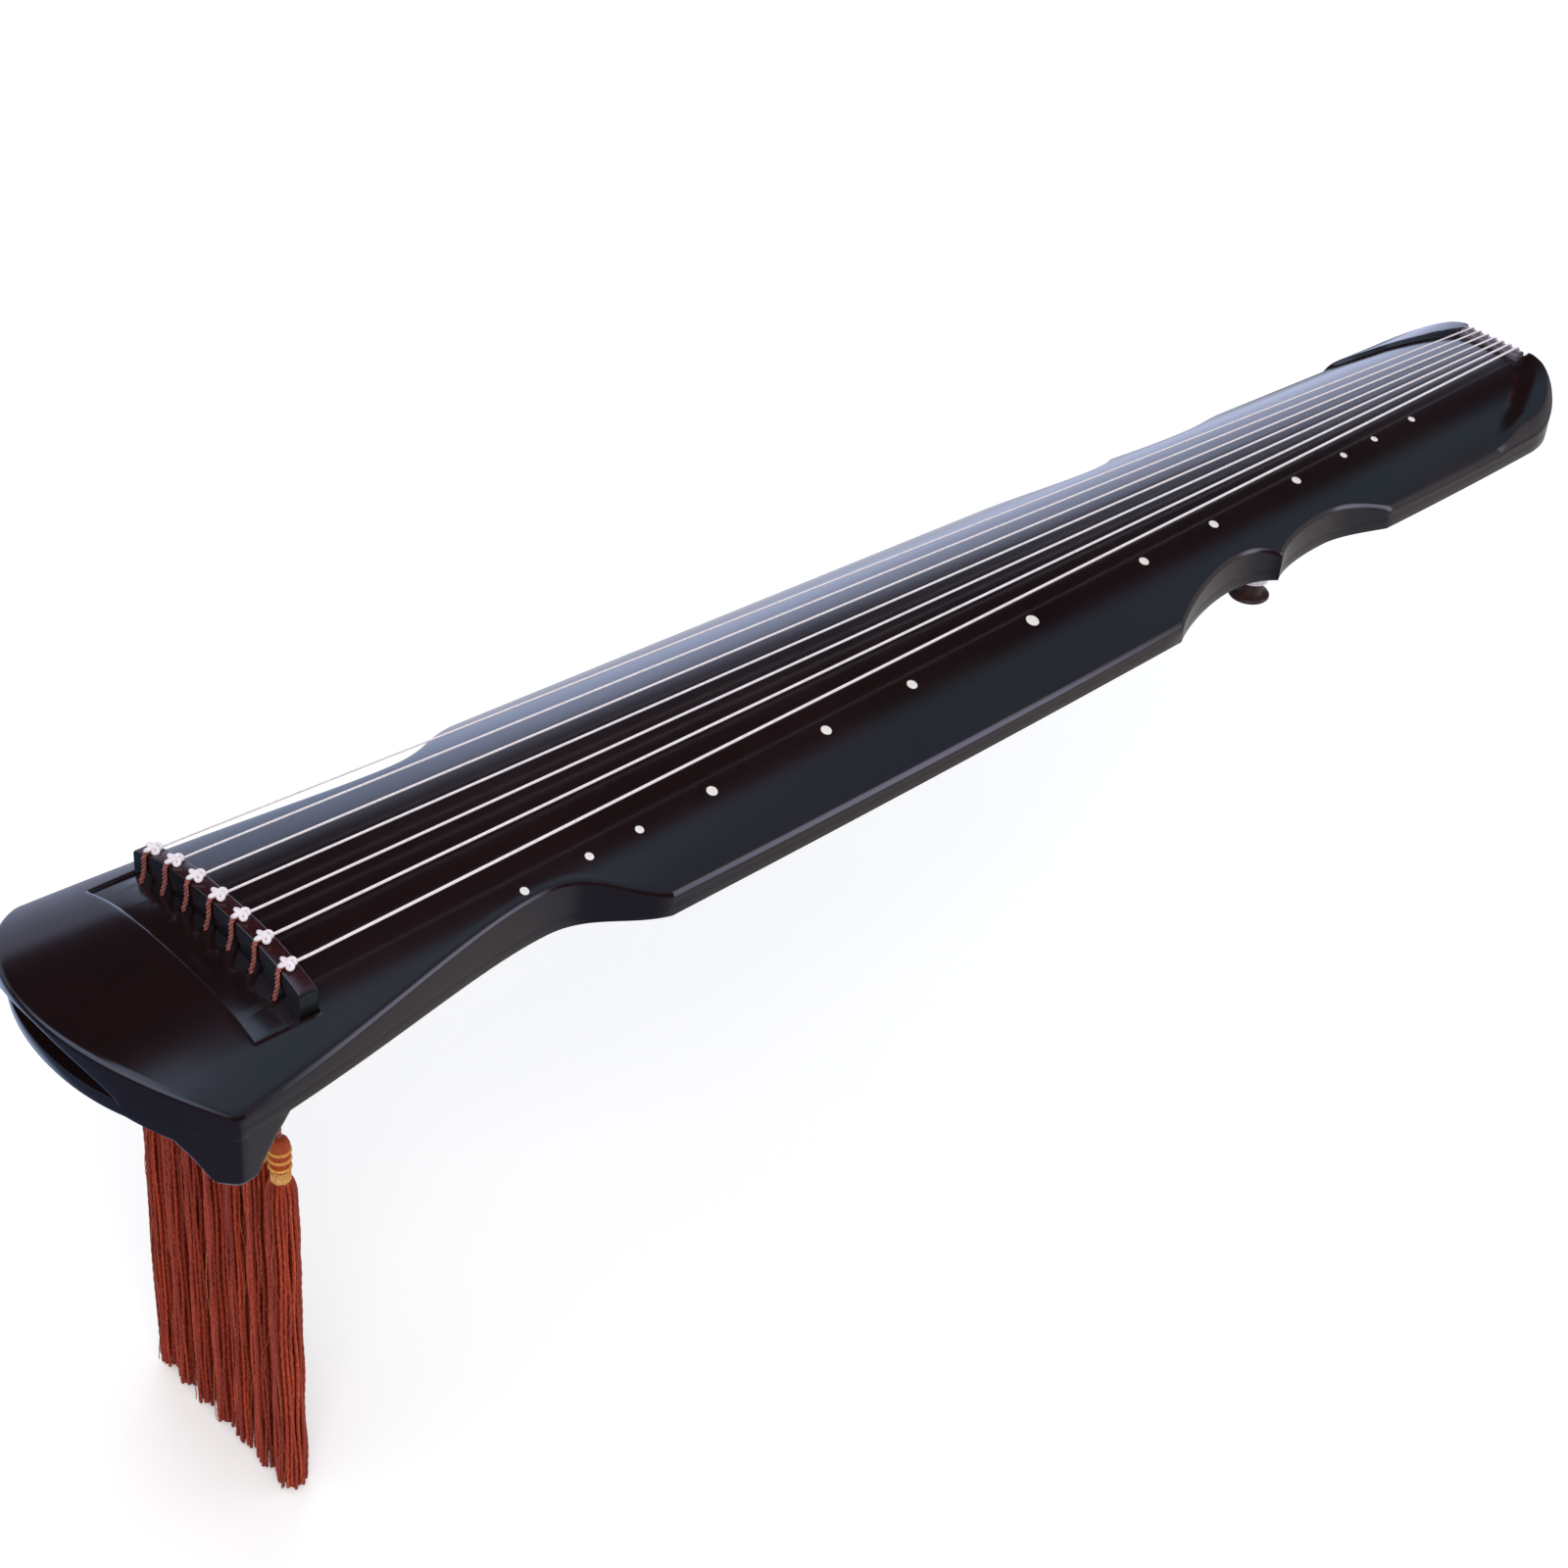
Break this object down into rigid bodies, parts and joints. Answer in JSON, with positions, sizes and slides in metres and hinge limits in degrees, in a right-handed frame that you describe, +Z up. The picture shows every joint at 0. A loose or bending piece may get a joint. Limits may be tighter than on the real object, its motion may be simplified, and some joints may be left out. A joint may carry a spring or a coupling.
{
  "type": "seven-string guqin",
  "caption": "Lacquered long zither without frets, with a notched outline, round pearl markers, tuning pegs and hanging silk tassels; played lying on a table.",
  "frame": {"origin": "on the centre line of the bottom board's flat underside, straight below the edge of the bridge where the strings start", "axes": "+X from the head to the tail, +Z up out of the played face, and -Y towards the side that carries the round inlays"},
  "size_m": [1.23, 0.2052, 0.3869],
  "materials": {
    "lacquer": "near-black lacquer over wood, polished to a satin gloss",
    "ebony": "oiled black hardwood, satin",
    "pearl": "polished white mother-of-pearl",
    "string": "smooth white string",
    "loop_silk": "twisted brownish-red silk cord",
    "tassel_silk": "rust-red silk strands with a soft sheen",
    "gold_thread": "gold thread wound round the tassel's neck",
    "dark_wood": "turned dark hardwood, waxed",
    "pale_wood": "bare pale softwood"
  },
  "bodies": {
    "body": {"top_board": "lacquer", "bottom_board": "lacquer", "heaven_post": "pale_wood", "earth_post": "pale_wood", "bridge": "ebony", "peg_hole_plate": "ebony", "peg_pool_board": "lacquer", "nut": "ebony", "lower_nut": "ebony", "crown_corner_near": "lacquer", "peg_guard_near": "lacquer", "goose_foot_near": "dark_wood", "crown_corner_far": "lacquer", "peg_guard_far": "lacquer", "goose_foot_far": "dark_wood", "inlay_01": "pearl", "inlay_02": "pearl", "inlay_03": "pearl", "inlay_04": "pearl", "inlay_05": "pearl", "inlay_06": "pearl", "inlay_07": "pearl", "inlay_08": "pearl", "inlay_09": "pearl", "inlay_10": "pearl", "inlay_11": "pearl", "inlay_12": "pearl", "inlay_13": "pearl", "string_1": "string", "tuning_loop_1": "loop_silk", "string_2": "string", "tuning_loop_2": "loop_silk", "string_3": "string", "tuning_loop_3": "loop_silk", "string_4": "string", "tuning_loop_4": "loop_silk", "string_5": "string", "tuning_loop_5": "loop_silk", "string_6": "string", "tuning_loop_6": "loop_silk", "string_7": "string", "tuning_loop_7": "loop_silk"},
    "peg_1": {"peg_1": "dark_wood"},
    "peg_2": {"peg_2": "dark_wood"},
    "peg_3": {"peg_3": "dark_wood"},
    "peg_4": {"peg_4": "dark_wood"},
    "peg_5": {"peg_5": "dark_wood"},
    "peg_6": {"peg_6": "dark_wood"},
    "peg_7": {"peg_7": "dark_wood"},
    "tassel_1": {"tassel_1": "tassel_silk"},
    "tassel_2": {"tassel_2": "tassel_silk"},
    "tassel_3": {"tassel_3": "tassel_silk"},
    "tassel_4": {"tassel_4": "tassel_silk"},
    "tassel_5": {"tassel_5": "tassel_silk"},
    "tassel_6": {"tassel_6": "tassel_silk"},
    "tassel_7": {"tassel_7": "tassel_silk"}
  },
  "joints": [
    {"name": "peg_1_spin", "type": "hinge", "parent": "body", "child": "peg_1", "pos_m": [-0.015, -0.0577, -0.0153], "axis": [0, 0, 1], "range_deg": [-360, 360]},
    {"name": "peg_2_spin", "type": "hinge", "parent": "body", "child": "peg_2", "pos_m": [-0.015, -0.0378, -0.0153], "axis": [0, 0, 1], "range_deg": [-360, 360]},
    {"name": "peg_3_spin", "type": "hinge", "parent": "body", "child": "peg_3", "pos_m": [-0.015, -0.0179, -0.0153], "axis": [0, 0, 1], "range_deg": [-360, 360]},
    {"name": "peg_4_spin", "type": "hinge", "parent": "body", "child": "peg_4", "pos_m": [-0.015, 0.002, -0.0153], "axis": [0, 0, 1], "range_deg": [-360, 360]},
    {"name": "peg_5_spin", "type": "hinge", "parent": "body", "child": "peg_5", "pos_m": [-0.015, 0.0219, -0.0153], "axis": [0, 0, 1], "range_deg": [-360, 360]},
    {"name": "peg_6_spin", "type": "hinge", "parent": "body", "child": "peg_6", "pos_m": [-0.015, 0.0418, -0.0153], "axis": [0, 0, 1], "range_deg": [-360, 360]},
    {"name": "peg_7_spin", "type": "hinge", "parent": "body", "child": "peg_7", "pos_m": [-0.015, 0.0617, -0.0153], "axis": [0, 0, 1], "range_deg": [-360, 360]},
    {"name": "tassel_1_swing", "type": "hinge", "parent": "body", "child": "tassel_1", "pos_m": [-0.015, -0.0577, -0.0358], "axis": [0, 1, 0], "range_deg": [-75, 75]},
    {"name": "tassel_2_swing", "type": "hinge", "parent": "body", "child": "tassel_2", "pos_m": [-0.015, -0.0378, -0.0358], "axis": [0, 1, 0], "range_deg": [-75, 75]},
    {"name": "tassel_3_swing", "type": "hinge", "parent": "body", "child": "tassel_3", "pos_m": [-0.015, -0.0179, -0.0358], "axis": [0, 1, 0], "range_deg": [-75, 75]},
    {"name": "tassel_4_swing", "type": "hinge", "parent": "body", "child": "tassel_4", "pos_m": [-0.015, 0.002, -0.0358], "axis": [0, 1, 0], "range_deg": [-75, 75]},
    {"name": "tassel_5_swing", "type": "hinge", "parent": "body", "child": "tassel_5", "pos_m": [-0.015, 0.0219, -0.0358], "axis": [0, 1, 0], "range_deg": [-75, 75]},
    {"name": "tassel_6_swing", "type": "hinge", "parent": "body", "child": "tassel_6", "pos_m": [-0.015, 0.0418, -0.0358], "axis": [0, 1, 0], "range_deg": [-75, 75]},
    {"name": "tassel_7_swing", "type": "hinge", "parent": "body", "child": "tassel_7", "pos_m": [-0.015, 0.0617, -0.0358], "axis": [0, 1, 0], "range_deg": [-75, 75]}
  ]
}
